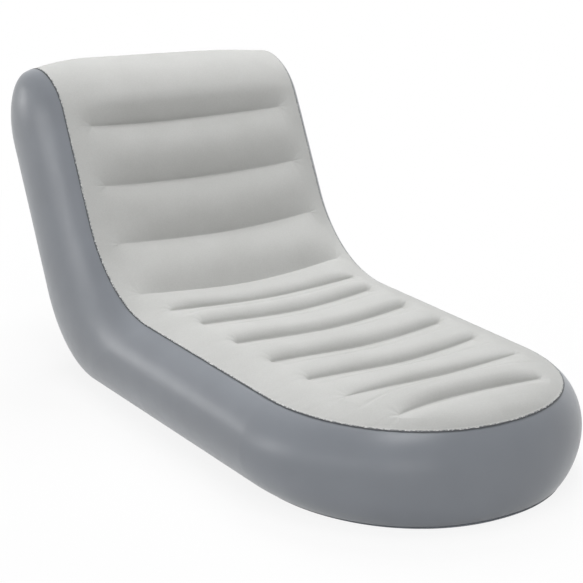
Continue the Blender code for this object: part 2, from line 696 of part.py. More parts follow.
def make_stopper_cap(parent, material):
    """Stopper with a tapered plug, a pull tab and the barrel of its hinge, about its own hinge."""
    _, _, _, stopper_low = valve_heights()
    axis = stopper_low + STOPPER_THICKNESS / 2
    low = stopper_low - axis
    high = low + STOPPER_THICKNESS
    plug = STOPPER_BORE - GAP
    profile = [(0.0, low - PLUG_DEPTH), (plug - PLUG_TAPER, low - PLUG_DEPTH), (plug, low),
               (STOPPER_RADIUS, low), (STOPPER_RADIUS, high), (0.0, high)]
    mesh = turned_mesh("stopper_cap", profile, ROUND_STEPS)
    mesh.transform(Matrix.Translation((0.0, HINGE_OFFSET, 0.0)))
    cap = new_object("stopper_cap", mesh, material, parent)
    half = HINGE_WIDTH / 2
    under = low + ARM_RELIEF
    over = high - ARM_RELIEF
    arm = tool("hinge_arm", box_mesh("hinge_arm", (-half, 0.0, under), (half, HINGE_OFFSET, over)), parent)
    tab_end = HINGE_OFFSET + STOPPER_RADIUS + TAB_REACH
    tab = tool("pull_tab", box_mesh("pull_tab", (-TAB_WIDTH / 2, HINGE_OFFSET, under),
                                    (TAB_WIDTH / 2, tab_end, over)), parent)
    turn = Matrix.Rotation(pi / 2, 4, "Y")
    reach = half + EAR_WIDTH
    round_end = STOPPER_THICKNESS / 2
    barrel = turned_mesh("hinge_barrel", [(0.0, -reach), (HINGE_PIN, -reach), (HINGE_PIN, -half),
                                          (round_end, -half), (round_end, half),
                                          (HINGE_PIN, half), (HINGE_PIN, reach), (0.0, reach)],
                         SMALL_STEPS)
    barrel.transform(turn)
    for piece in (arm, tab, tool("hinge_barrel", barrel, parent)):
        combine(cap, piece, "UNION")
    return cap


def make_valve(outline, base_sheet, materials):
    """The valve sits on the flat middle of the rear channel between the second and third beam."""
    seat = outline.point(outline.valve_place - VALVE_PATCH_HALF, 0.0)
    seat = (seat + outline.point(outline.valve_place + VALVE_PATCH_HALF, 0.0)) / 2
    up = Vector((0.0, sin(LEAN), cos(LEAN)))
    out = Vector((0.0, cos(LEAN), -sin(LEAN)))
    across = up.cross(out)
    frame = Matrix((across, up, out)).transposed().to_4x4()
    frame.translation = Vector(seat)
    mount = bpy.data.objects.new("valve_axis", None)
    bpy.context.scene.collection.objects.link(mount)
    mount.matrix_world = frame
    radius = NECK_RADIUS + NECK_CLEARANCE
    hole = turned_mesh("neck_hole", [(0.0, -OVERRUN), (radius, -OVERRUN), (radius, OVERRUN),
                                     (0.0, OVERRUN)], ROUND_STEPS)
    combine(base_sheet, tool("neck_hole", hole, mount), "DIFFERENCE")
    make_valve_base(mount, materials["valve_plastic"])
    make_seal_ring(mount, materials["seal_rubber"])
    make_valve_body(mount, materials["valve_plastic"])
    make_flap_spider(mount, materials["valve_plastic"])
    make_check_flap(mount, materials["flap_silicone"])
    hinge = bpy.data.objects.new("cap_axis", None)
    bpy.context.scene.collection.objects.link(hinge)
    hinge.parent = mount
    hinge.location = (0.0, -HINGE_OFFSET, valve_heights()[3] + STOPPER_THICKNESS / 2)
    make_stopper_cap(hinge, materials["valve_plastic"])


def build():
    clear_scene()
    materials = {name: make_material(name) for name in MATERIALS}
    outline = Outline()
    make_top_sheet(outline, materials["flocked_vinyl"])
    make_side_band(outline, materials["band_vinyl"])
    base_sheet = make_base_sheet(outline, materials["base_vinyl"])
    for number in range(len(outline.top_grooves)):
        back = number - SEAT_GROOVES + 1
        name = "back_beam_" + str(back) if back > 0 else "seat_beam_" + str(number + 1)
        make_beam(outline, number, name, materials["beam_vinyl"])
    make_valve(outline, base_sheet, materials)


build()
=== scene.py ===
"""Inflatable lounger: flocked top sheet, vinyl side band and base, welds, raw sheet edge and air valve."""
from math import cos, pi, radians, sin, tan

import bmesh
import bpy
import numpy as np
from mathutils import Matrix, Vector


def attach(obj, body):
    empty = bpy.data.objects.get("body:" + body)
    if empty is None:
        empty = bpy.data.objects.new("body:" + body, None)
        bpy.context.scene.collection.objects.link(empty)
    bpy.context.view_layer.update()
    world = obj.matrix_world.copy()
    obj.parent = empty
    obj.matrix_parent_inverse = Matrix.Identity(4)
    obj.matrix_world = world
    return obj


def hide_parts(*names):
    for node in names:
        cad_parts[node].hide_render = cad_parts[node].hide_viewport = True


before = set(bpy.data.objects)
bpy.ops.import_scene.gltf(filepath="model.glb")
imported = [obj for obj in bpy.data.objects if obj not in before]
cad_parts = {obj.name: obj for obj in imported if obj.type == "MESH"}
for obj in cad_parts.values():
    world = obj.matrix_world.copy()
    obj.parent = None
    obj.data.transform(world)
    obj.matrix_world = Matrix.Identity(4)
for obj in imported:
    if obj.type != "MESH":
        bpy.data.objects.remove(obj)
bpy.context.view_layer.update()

# Outline of the air chamber at its seams
HALF_WIDTH = 0.325
SEAT_RUN = 0.738
FOOT_START_Y = -0.435287
FOOT_DEPTH = 0.359
BASE_FOOT_DEPTH = 0.366
FOOT_ROUNDNESS = 2.12
FOOT_SEAM_HEIGHT = 0.209
CORNER_SEAM_HEIGHT = 0.222
LEAN = radians(26.6)
BACK_THICKNESS = 0.314
CROWN_CENTRE_HEIGHT = 0.580
SEAT_BEND_RADIUS = 0.343
BASE_BEND_RADIUS = 0.274
SEAT_BULGE = 0.074
FOOT_BULGE = 0.033
BACK_BULGE = 0.064
BAND_FULLNESS = 1.5
CROWN_TAPER = 0.8

# Sheets and welds
SHEET = 0.0010
GAP = 0.0003
SEAT_CREST = 0.036
BACK_CREST = 0.030
CROWN_CREST = 0.0038
CROWN_TILT = 0.008
NOSE_DROOP = 0.007
REAR_CREST = 0.022
FLOOR_CREST = 0.002
FLOOR_GROOVE = 0.006
BASE_GROOVE_SAG = 0.004
TOP_EDGE_ROUND = 0.140
FOOT_EDGE_ROUND = 0.070
REAR_EDGE_ROUND = 0.050
SEAT_STRIP_HALF = 0.0050
BACK_STRIP_HALF = 0.0015
BASE_STRIP_HALF = 0.0080
WELD_END_REACH = 0.050
BACK_END_REACH = 0.072
WELD_MIDDLE_ROUND = 0.35
FRONT_RUN = 0.029
FRONT_STEEPNESS = 0.54
BACK_STEEPNESS = 0.85
SHELF_REACH = 0.056
SHELF_CREASE = 0.0044
LAP = 0.0034
BASE_LAP = 0.0060
REAR_LAP = 0.010

# The eleven welds, foot to crown: place, half length, height of the ends and sag of the middle
WELD_PLACE_SHARES = (0.055, 0.129, 0.212, 0.289, 0.367, 0.457, 0.516, 0.584, 0.669, 0.753, 0.838)
WELD_HALF_SHARES = (0.572, 0.711, 0.702, 0.714, 0.723, 0.729, 0.788, 0.868, 0.840, 0.825, 0.822)
WELD_RISE_SHARES = (0.42, 0.68, 0.46, 0.36, 0.32, 0.34, 0.42, 0.10, 0.26, 0.10, 0.04)
WELD_SAG_SHARES = (-0.12, 0.30, 0.44, 0.44, 0.44, 0.44, 0.36, 0.58, 0.48, 0.36, 0.27)
SEAT_WELDS = 7
HEEL_WELD_SHARE = 0.542
REAR_WELD_SHARES = (-0.0559, 0.5165, 0.8927)

# How far the middle of each pillow dips, foot pad to crown
PILLOW_DISH_SHARES = (0.02, -0.30, 0.08, 0.28, 0.22, 0.40, 0.28, 0.30, 0.15, 0.08, 0.04, 0.0)
DISH_HALF_SHARE = 0.80

# How far the welds of the top lie from their even places: at the left, in the middle, at the right
WELD_SHIFTS = ((-0.004, 0.016, 0.015), (-0.014, 0.005, 0.017), (-0.021, -0.004, 0.021),
               (-0.018, -0.002, 0.019), (-0.008, 0.002, 0.024), (-0.016, -0.011, 0.012),
               (-0.005, -0.011, 0.001), (-0.012, -0.019, -0.003), (-0.006, -0.011, 0.002),
               (-0.003, -0.008, -0.002), (-0.001, -0.006, -0.005))

# Gap that counts beyond the first and last weld, and the widest one that counts between two
FIRST_GAP = 0.136
WIDEST_GAP = 0.24

# Marks of the welding on the sheets
CREASE_WIDTH = 0.0060
WELD_SOFT_EDGE = 0.0012
TOP_PUCKER = 0.0009
BASE_PUCKER = 0.0006
SEAM_TUCK = 0.0006

# Narrow strips along the top seam: where they start and end on the band, counted from the lap's edge
STRIP_INSIDE = 0.0012
STRIP_OUTSIDE = 0.0010

# Lowest point of the band over the floor
BAND_CLEAR = 0.0008

# Valve, the level patch of sheet round it and the flange's print in the sheet
NECK_CLEAR = 0.0189
VALVE_CENTRE = Vector((0.0, 0.677934, 0.224311))
VALVE_REACH = 0.0400
VALVE_PITCH = 0.0025
PATCH_RADIUS = 0.052
PATCH_BLEND = 0.016
PRINT_RADIUS = 0.0305
PRINT_HEIGHT = 0.0005
PRINT_EDGE = 0.0012

# Light that comes from all sides, beside the lamps
FILL = 0.02
LAMP_DISTANCE = 7.0
LAMP_TARGET = Vector((0, 0, 0.3))

# The floor turns from the part that keeps the shadow into plain white between these distances
FLOOR_HALF_SIZE = 14.0
FLOOR_DROP = 0.0005
SHADOW_END, WHITE_START = 1.1, 2.4
SHADOW_WHITE = 0.88

# Camera
CAMERA_AZIMUTH = radians(-31.942)
CAMERA_ELEVATION = radians(16.613)
CAMERA_TARGET = Vector((-0.0456, -0.0730, 0.2993))
CAMERA_DISTANCE = 3.9198
SENSOR_WIDTH = 36.0
FOCAL_SHARE = 1708.6 / 583  # focal length per picture width


# ---------------------------------------------------------------- outline

def arc(centre, start, end, steps):
    first = np.arctan2(start[1] - centre[1], start[0] - centre[0])
    last = np.arctan2(end[1] - centre[1], end[0] - centre[0])
    turn = (last - first + pi) % (2 * pi) - pi
    angles = first + turn * np.linspace(0, 1, steps + 1)
    return centre + np.linalg.norm(start - centre) * np.stack([np.cos(angles), np.sin(angles)], axis=1)


def rounded_corner(before, corner, after, radius, steps):
    turn = np.arccos(np.clip(before @ after, -1, 1))
    start = corner - before * radius * tan(turn / 2)
    end = corner + after * radius * tan(turn / 2)
    return arc(start + radius * np.array([-before[1], before[0]]), start, end, steps)


def straight(start, end, steps):
    return start + (end - start) * np.linspace(0, 1, steps + 1)[:, None]


def side_view(steps):
    """Matching (y, z) points of the top and base seams behind the foot, and where each stretch ends."""
    up = np.array([sin(LEAN), cos(LEAN)])
    inward = np.array([cos(LEAN), -sin(LEAN)])
    radius = BACK_THICKNESS / 2
    foot = np.array([0.0, FOOT_SEAM_HEIGHT])
    corner = np.array([SEAT_RUN, CORNER_SEAM_HEIGHT])
    climb = (CROWN_CENTRE_HEIGHT + radius * sin(LEAN) - CORNER_SEAM_HEIGHT) / cos(LEAN)
    crown = corner + up * climb + inward * radius
    tip = crown + up * radius
    rear = crown + inward * radius
    heel = rear - up * (rear[1] / up[1])
    along_seat = (corner - foot) / np.linalg.norm(corner - foot)
    upper_bend = rounded_corner(along_seat, corner, up, SEAT_BEND_RADIUS, steps[1])
    lower_bend = rounded_corner(np.array([1.0, 0.0]), heel, up, BASE_BEND_RADIUS, steps[1])
    upper_crown = arc(crown, crown - inward * radius, tip, steps[3])
    lower_crown = arc(crown, rear, tip, steps[3])
    upper, lower = [], []
    for chain, start, bend, top in ((upper, foot, upper_bend, upper_crown),
                                    (lower, np.zeros(2), lower_bend, lower_crown)):
        chain += [straight(start, bend[0], steps[0])[:-1], bend[:-1],
                  straight(bend[-1], top[0], steps[2])[:-1], top]
    return np.vstack(upper), np.vstack(lower)


class Outline:
    """Seam stations round the chamber, from the foot's tip over the crown and back underneath."""

    def __init__(self, foot_steps=90, steps=(120, 70, 60, 60), solid=None):
        upper, lower = side_view(steps)
        power = 2 / FOOT_ROUNDNESS
        turn = np.linspace(pi / 2, 0, foot_steps + 1)[:-1]
        across = HALF_WIDTH * np.maximum(np.cos(turn), 0) ** power
        across[0] = 0.0
        depth = np.sin(turn) ** power
        flat = np.zeros_like(turn)
        self.upper = np.vstack([
            np.stack([across, -FOOT_DEPTH * depth, flat + FOOT_SEAM_HEIGHT], axis=1),
            np.column_stack([np.full(len(upper), HALF_WIDTH), upper])])
        self.lower = np.vstack([
            np.stack([across, -BASE_FOOT_DEPTH * depth, flat], axis=1),
            np.column_stack([np.full(len(lower), HALF_WIDTH), lower])])
        for points in (self.upper, self.lower):
            points[:, 1] += FOOT_START_Y
        side = np.tile([1.0, 0.0, 0.0], (len(upper), 1))
        self.outward = np.vstack([np.stack([np.cos(turn), -np.sin(turn), flat], axis=1), side])
        share = np.interp(np.arange(len(upper)), (0, steps[0], steps[0] + steps[1]), (0, 1 / 7, 1))
        bulge = SEAT_BULGE + (BACK_BULGE - SEAT_BULGE) * share
        chord = np.linalg.norm(upper - lower, axis=1)
        crown_start = sum(steps[:3])
        bulge[crown_start:] = BACK_BULGE * (chord[crown_start:] / BACK_THICKNESS) ** CROWN_TAPER
        self.bulge = np.concatenate([SEAT_BULGE + (FOOT_BULGE - SEAT_BULGE) * np.sin(turn), bulge])
        self.count = len(self.upper)
        self.edge = np.vstack([self.upper, self.lower[-2::-1]])
        run = np.diff(self.edge[:, 1:], axis=0)
        lengths = np.linalg.norm(run, axis=1)
        self.along = np.concatenate([[0.0], np.cumsum(lengths)])
        normal = np.stack([-run[:, 1], run[:, 0]], axis=1) / lengths[:, None]
        normal = np.vstack([normal[:1], normal[:-1] + normal[1:], normal[-1:]])
        self.normal = normal / np.linalg.norm(normal, axis=1)[:, None]
        marks = np.cumsum([foot_steps, *steps])
        last = len(self.edge) - 1
        self.foot_end, self.bend, self.back, self.crown, self.tip = (self.along[m] for m in marks)
        self.rear_seam = self.along[marks[4] + steps[3] // 3]
        self.rear, self.heel, self.floor = (self.along[last - m] for m in marks[3:0:-1])
        self.floor_foot = self.along[last - foot_steps]
        self.end = self.along[-1]
        self.weld_half = [share * HALF_WIDTH for share in WELD_HALF_SHARES]
        if solid is None:
            self.top_welds = [share * self.tip for share in WELD_PLACE_SHARES]
            floor_y = [np.interp(place, self.along, self.edge[:, 1]) for place in self.top_welds]
            self.base_welds = [self.end - (y - self.edge[-1, 1]) for y in floor_y[:SEAT_WELDS]]
            self.base_welds += [self.end - HEEL_WELD_SHARE * (self.end - self.tip)]
            self.base_welds += [self.heel - share * (self.heel - self.rear) for share in REAR_WELD_SHARES]
            return
        self.top_welds, self.top_heights = self.follow(solid, solid.top_welds, True)
        self.base_welds, self.base_heights = self.follow(solid, solid.base_welds, False)
        ends = [0.0, *self.top_welds, self.tip]
        self.pillows = [(before + after) / 2 for before, after in zip(ends, ends[1:])]
        shifts = np.array([(0.0, 0.0, 0.0), *WELD_SHIFTS, (0.0, 0.0, 0.0)])
        self.shift_left, self.shift_middle, self.shift_right = shifts.T

    def follow(self, solid, places, top):
        """Places here of the solid parts' welds, and the heights of their ends and middles."""
        found, heights = [], []
        for number, place in enumerate(places):
            if top:
                ends = SEAT_CREST * WELD_RISE_SHARES[number]
                middle = ends - SEAT_CREST * WELD_SAG_SHARES[number]
            else:
                ends = -FLOOR_GROOVE if number <= SEAT_WELDS else 0.0
                middle = ends - BASE_GROOVE_SAG
            foot = solid.at(place, solid.edge)[1:]
            normal = solid.at(place, solid.normal)
            normal = normal / np.linalg.norm(normal)
            spots = np.linspace(place - 0.05, place + 0.05, 2001)
            edge, across = self.at(spots, self.edge)[:, 1:], self.at(spots, self.normal)
            level, spot = [], []
            for height in (ends, middle):
                away = foot + normal * height - edge
                lift = (away * across).sum(axis=1)
                best = np.linalg.norm(away - across * lift[:, None], axis=1).argmin()
                level.append(lift[best] + 0.0002)
                spot.append(spots[best])
            found.append(sum(spot) / 2)
            heights.append(level)
        return found, heights

    def shifted(self, s, x):
        """Where on the outline a point of the top's pattern lies."""
        spots = [0.0, *self.top_welds, self.rear_seam]
        share = np.clip(x / (0.8 * HALF_WIDTH), -1, 1)
        left, middle, right = (np.interp(s, spots, shifts) for shifts in
                               (self.shift_left, self.shift_middle, self.shift_right))
        move = middle * (1 - share ** 2) + np.where(share < 0, left, right) * share ** 2
        return s + move * np.clip((1 - np.abs(x) / HALF_WIDTH) / 0.12, 0, 1)

    def at(self, s, values):
        values = np.asarray(values)
        if values.ndim == 1:
            return np.interp(s, self.along, values)
        return np.stack([np.interp(s, self.along, column) for column in values.T], axis=-1)

    def foot_share(self, s):
        """How far into the rounded foot a station is, from 0 at its start to 1 at its tip."""
        depth = np.where(s < self.tip, FOOT_DEPTH, BASE_FOOT_DEPTH)
        return np.clip((FOOT_START_Y - self.at(s, self.edge[:, 1])) / depth, 0, 1)

    def from_seam(self, s, x):
        """Distance of a point from the seam, measured towards the middle."""
        ring = (np.abs(x) / HALF_WIDTH) ** FOOT_ROUNDNESS + self.foot_share(s) ** FOOT_ROUNDNESS
        return np.maximum(1 - ring ** (1 / FOOT_ROUNDNESS), 0) * HALF_WIDTH

    def crest(self, s, x):
        """Height of the sheets over their seams between the welds."""
        spots = (0, self.bend, self.back, self.crown, self.tip, self.rear_seam, self.rear, self.heel,
                 self.floor, self.end)
        heights = (SEAT_CREST, SEAT_CREST, BACK_CREST, BACK_CREST, CROWN_CREST, CROWN_CREST,
                   REAR_CREST, REAR_CREST, FLOOR_CREST, FLOOR_CREST)
        full = np.interp(s, spots, heights)
        width = np.interp(s, (self.tip, self.rear), (TOP_EDGE_ROUND, REAR_EDGE_ROUND))
        foot = np.where(s < self.tip, self.foot_share(s) ** 2, 0)
        width = width - (TOP_EDGE_ROUND - FOOT_EDGE_ROUND) * foot
        rise = 1 - np.minimum(self.from_seam(s, x) / width, 1)
        dish = SEAT_CREST * np.interp(s, self.pillows, PILLOW_DISH_SHARES)
        dish = dish * np.maximum(1 - (x / (DISH_HALF_SHARE * HALF_WIDTH)) ** 2, 0) ** 1.5
        tilt = np.interp(s, (self.back, self.crown), (0, CROWN_TILT)) * x / HALF_WIDTH
        return (full - dish - np.where(s < self.rear_seam, tilt, 0)) * (1 - rise ** (2 + foot))

    def band_point(self, turn, inset=0.0):
        """Points of the band's nominal face at one turn round its section, for every station."""
        half = (self.upper - self.lower) / 2
        size = np.linalg.norm(half, axis=1)
        direction = half / np.maximum(size, SHEET)[:, None]
        sine, cosine = np.sin(turn), np.cos(turn)
        swell = self.bulge * sine ** BAND_FULLNESS
        normal = self.outward * (size * sine)[:, None]
        normal += direction * (BAND_FULLNESS * self.bulge * np.sqrt(sine) * cosine)[:, None]
        normal /= np.maximum(np.linalg.norm(normal, axis=1), 1e-9)[:, None]
        middle = (self.upper + self.lower) / 2
        return middle + half * cosine[:, None] + self.outward * swell[:, None] - normal * inset, normal

    def lap_line(self, width, inset=0.0):
        """Points of the band's face at a width from each seam station, all round the outline."""
        turn = np.arcsin(np.clip((width / np.maximum(self.bulge, SHEET)) ** (1 / BAND_FULLNESS), 0, 0.6))
        top, top_normal = self.band_point(turn, inset)
        low, low_normal = self.band_point(pi - turn, inset)
        return np.vstack([top, low[-2::-1]]), np.vstack([top_normal, low_normal[-2::-1]])


def smooth_noise(values, seed, size):
    """Smooth noise from -1 to 1 along a line."""
    rng = np.random.default_rng(seed)
    knots = rng.uniform(-1, 1, int(np.max(values) / size) + 4)
    place = np.asarray(values) / size
    index = np.floor(place).astype(int)
    part = place - index
    part = part * part * (3 - 2 * part)
    return knots[index] * (1 - part) + knots[index + 1] * part


def sheet_heights(outline, s, place, x, top):
    """Height of a sheet over its seams, and 1 where it is welded flat to a beam.

    s is the point's place in the pattern of welds, place is where that lies on the outline.
    """
    crest = outline.crest(place, x)
    welds = outline.top_welds if top else outline.base_welds
    levels = outline.top_heights if top else outline.base_heights
    order = np.argsort(welds)
    fall = np.zeros_like(crest)
    weld = np.zeros_like(crest)
    pucker = np.zeros_like(crest)
    crease = np.zeros_like(crest)
    for rank, number in enumerate(order):
        spot, half = welds[number], outline.weld_half[number]
        strip = (SEAT_STRIP_HALF if number < SEAT_WELDS else BACK_STRIP_HALF) if top else BASE_STRIP_HALF
        before = spot - welds[order[rank - 1]] if rank else FIRST_GAP
        after = welds[order[rank + 1]] - spot if rank + 1 < len(order) else FIRST_GAP
        shelf = top and number < SEAT_WELDS
        if top and 0 < number <= SEAT_WELDS:
            before = before - FRONT_RUN - strip - SEAT_STRIP_HALF
        else:
            before = min(before, WIDEST_GAP) / 2 - strip
        after = FRONT_RUN if shelf else min(after, WIDEST_GAP) / 2 - strip
        aside = s - spot
        side = np.where(aside < 0, before, after)
        ends, middle = levels[number]
        across = np.minimum(np.abs(x) / half, 1)
        rounded = 1 - np.sqrt((across ** 2 + WELD_MIDDLE_ROUND ** 2) / (1 + WELD_MIDDLE_ROUND ** 2))
        low = ends + (middle - ends) * (rounded if middle < ends else 1 - across ** 2)
        depth = np.maximum(crest - low, 0)
        past = np.maximum(np.abs(x) - half + strip, 0)
        end_reach = BACK_END_REACH if top and not shelf else WELD_END_REACH
        near = np.hypot(aside, past * side / end_reach) - strip
        part = np.clip(1 - np.maximum(near, 0) / side, 0, 1)
        round_off = 1 - part ** 2
        if top:
            round_off = np.where(aside < 0, round_off ** (1.0 if shelf else BACK_STEEPNESS),
                                 round_off ** (FRONT_STEEPNESS if shelf else 1.0))
        fall = np.maximum(fall, depth * (1 - round_off))
        if shelf and number:
            strength = 0.65 + 0.35 * smooth_noise(x + 1.0, 40 + number, 0.09)
            reach = np.clip((half + 0.012 - np.abs(x)) / 0.03, 0, 1)
            crease += SHELF_CREASE * strength * reach * np.exp(-((aside + SHELF_REACH) / CREASE_WIDTH) ** 2)
        edge = np.hypot(aside, past) - strip
        weld = np.maximum(weld, np.clip(0.5 - edge / WELD_SOFT_EDGE, 0, 1))
        reach = np.hypot(aside, past)
        angle = np.arctan2(aside, past + 1e-6)
        ripple = np.cos(9 * angle + 1.7 * number) * np.exp(-reach / 0.020)
        ripple = ripple * np.clip(reach / 0.012, 0, 1)
        pucker += np.where(past > 0, ripple, 0) * (TOP_PUCKER if top else BASE_PUCKER)
    seam = outline.from_seam(place, x)
    tuck = smooth_noise(s + (x > 0) * 0.37, 5, 0.013) * np.exp(-seam / 0.016)
    tuck = tuck * np.clip(seam / 0.004, 0, 1)
    return crest - fall - crease + pucker + SEAM_TUCK * tuck, weld


# ---------------------------------------------------------------- meshes

def grid_mesh(name, points, values):
    """A smooth mesh through a grid of points, with its poles merged."""
    rows, columns = points.shape[:2]
    mesh = bpy.data.meshes.new(name)
    index = np.arange(rows * columns).reshape(rows, columns)
    corners = np.stack([index[:-1, :-1], index[:-1, 1:], index[1:, 1:], index[1:, :-1]], axis=-1)
    mesh.from_pydata(points.reshape(-1, 3).tolist(), [], corners.reshape(-1, 4).tolist())
    for key, value in values.items():
        attribute = mesh.attributes.new(key, "FLOAT", "POINT")
        attribute.data.foreach_set("value", value.ravel().astype(np.float32))
    builder = bmesh.new()
    builder.from_mesh(mesh)
    bmesh.ops.remove_doubles(builder, verts=builder.verts, dist=1e-6)
    bmesh.ops.dissolve_degenerate(builder, edges=builder.edges, dist=1e-7)
    builder.to_mesh(mesh)
    builder.free()
    mesh.shade_smooth()
    return mesh


def droop(points):
    """The right end of the crown hangs a little lower than the left one."""
    across = np.clip((points[..., 0] - 0.10) / (HALF_WIDTH - 0.10), 0, 1.2)
    above = np.clip((points[..., 2] - 0.58) / 0.16, 0, 1)
    points[..., 2] -= NOSE_DROOP * across ** 1.5 * above * above * (3 - 2 * above)
    return points


def droop_mesh(mesh):
    points = np.empty(len(mesh.vertices) * 3)
    mesh.vertices.foreach_get("co", points)
    mesh.vertices.foreach_set("co", droop(points.reshape(-1, 3)).ravel())
    mesh.update()


def add_piece(name, mesh, material):
    piece = bpy.data.objects.new(name, mesh)
    bpy.context.scene.collection.objects.link(piece)
    mesh.materials.clear()
    mesh.materials.append(material)
    return piece


def row_places(start, end, welds, half, pitch, outline):
    """Rows of a sheet: an even pitch, closer and closer towards each weld's two edges."""
    places = list(np.linspace(start, end, int((end - start) / pitch) + 1))
    steps = np.array([0.0, 0.0006, 0.0014, 0.0026, 0.0042, 0.0064, 0.0092, 0.0128, 0.0172])
    for weld in welds:
        strip = half(weld)
        for side in (-1, 1):
            places += list(weld + side * (strip + steps))
        places += [weld - strip / 2, weld, weld + strip / 2]
    places = np.array(sorted(p for p in places if start <= p <= end))
    keep = [places[0]]
    for place in places[1:]:
        if place - keep[-1] > 0.00045:
            keep.append(place)
    keep[-1] = end
    foot = outline.along[:91] if start == 0 else outline.along[-91:]
    foot = [p for p in foot if start <= p <= end and min(abs(p - k) for k in keep) > 0.0004]
    return np.array(sorted(keep + foot))


def column_shares(middle, fine, edge):
    """Columns of a sheet from its middle to its seam, as shares of the half width."""
    inner = np.linspace(0, 0.55, middle)[:-1]
    outer = np.linspace(0.55, 0.955, fine)[:-1]
    rim = np.linspace(0.955, 1.0, edge)
    return np.concatenate([inner, outer, rim])


def make_sheet_points(outline, places, shares, top, lap, inner_depth=None):
    """Grid of a sheet's points, with its laps over the band on both sides."""
    grids = []
    for side in (-1, 1):
        reach = side * shares[None, :]
        s = np.repeat(places[:, None], len(shares), axis=1)
        place = outline.shifted(s, reach * HALF_WIDTH) if top else s
        x = np.maximum(outline.at(place.ravel(), outline.edge[:, 0]).reshape(s.shape), 0) * reach
        height, weld = sheet_heights(outline, s, place, x, top)
        if inner_depth is not None:
            height = height - inner_depth[:, None]
        edge = outline.at(place.ravel(), outline.edge).reshape(*s.shape, 3)
        normal = outline.at(place.ravel(), outline.normal).reshape(*s.shape, 2)
        y = edge[..., 1] + normal[..., 0] * height
        z = edge[..., 2] + normal[..., 1] * height
        half = np.stack([x, y, z], axis=-1)
        laps = []
        for part, inset in ((0.33, 0.0), (0.66, 0.0), (1.0, 0.0), (1.0, SHEET)):
            line, _ = outline.lap_line(lap * part, inset)
            laps.append(outline.at(places, line) * np.array([side, 1.0, 1.0]))
        half = np.concatenate([half, np.stack(laps, axis=1)], axis=1)
        if not top:
            half[..., 2] = np.maximum(half[..., 2], 0)
        grids.append((half, np.concatenate([weld, np.zeros((len(places), 4))], axis=1)))
    (left, left_weld), (right, right_weld) = grids
    return (np.concatenate([left[:, :0:-1], right], axis=1),
            np.concatenate([left_weld[:, :0:-1], right_weld], axis=1))


def make_top_sheet(outline, material):
    seat_end = outline.top_welds[SEAT_WELDS - 1]
    places = row_places(0.0, outline.rear_seam, outline.top_welds,
                        lambda weld: SEAT_STRIP_HALF if weld <= seat_end else BACK_STRIP_HALF,
                        0.0055, outline)
    points, weld = make_sheet_points(outline, places, column_shares(22, 42, 9), True, LAP)
    last = points[-1:].copy()
    normal = outline.at(np.array([outline.rear_seam]), outline.normal)[0]
    last[..., 1] -= normal[0] * SHEET
    last[..., 2] -= normal[1] * SHEET
    points = np.concatenate([points, last])
    weld = np.concatenate([weld, weld[-1:]])
    mesh = grid_mesh("flocked_top_sheet", points, {"weld": weld})
    return add_piece("flocked_top_sheet", mesh, material)


def make_base_sheet(outline, material):
    start = outline.rear_seam - REAR_LAP
    places = row_places(start, outline.end, outline.base_welds, lambda weld: BASE_STRIP_HALF,
                        0.0085, outline)
    valve = (outline.base_welds[-3] + outline.base_welds[-2]) / 2
    close = valve + np.arange(-VALVE_REACH, VALVE_REACH + 0.0001, VALVE_PITCH)
    places = np.array(sorted(set(places[np.abs(places - valve) > VALVE_REACH + 0.0005]) | set(close)))
    shares = column_shares(14, 26, 6)
    centre = np.arange(0, VALVE_REACH + 0.0001, VALVE_PITCH) / HALF_WIDTH
    shares = np.concatenate([centre, shares[shares > centre[-1] + 0.004]])
    depth = np.interp(places, (outline.rear_seam + 0.002, outline.rear_seam + 0.020), (SHEET + GAP, 0.0))
    points, weld = make_sheet_points(outline, places, shares, False, BASE_LAP, depth)
    out = np.array([0.0, cos(LEAN), -sin(LEAN)])
    offset = points - np.array(VALVE_CENTRE)
    lift = offset @ out
    radius = np.linalg.norm(offset - lift[..., None] * out, axis=-1)
    blend = np.clip((PATCH_RADIUS - radius) / PATCH_BLEND, 0, 1)
    blend = blend * blend * (3 - 2 * blend)
    blend[np.abs(lift) > 0.05] = 0
    ring = PRINT_HEIGHT * np.clip((PRINT_RADIUS - radius) / PRINT_EDGE, 0, 1) * (np.abs(lift) < 0.05)
    points += (ring - lift * blend)[..., None] * out
    mesh = grid_mesh("base_sheet_skin", points, {"weld": weld})
    builder = bmesh.new()
    builder.from_mesh(mesh)
    axis = Vector(out)

    def reach(co):
        away = co - VALVE_CENTRE
        return (away - axis * away.dot(axis)).length if abs(away.dot(axis)) < 0.02 else 1.0

    gone = [face for face in builder.faces if all(reach(v.co) < NECK_CLEAR for v in face.verts)]
    bmesh.ops.delete(builder, geom=gone, context="FACES")
    for vertex in builder.verts:
        if vertex.is_boundary and reach(vertex.co) < NECK_CLEAR + 0.001:
            away = vertex.co - VALVE_CENTRE
            along = axis * away.dot(axis)
            vertex.co = VALVE_CENTRE + along + (away - along).normalized() * NECK_CLEAR
    builder.to_mesh(mesh)
    builder.free()
    mesh.shade_smooth()
    return add_piece("base_sheet_skin", mesh, material)


# ---------------------------------------------------------------- geometry nodes

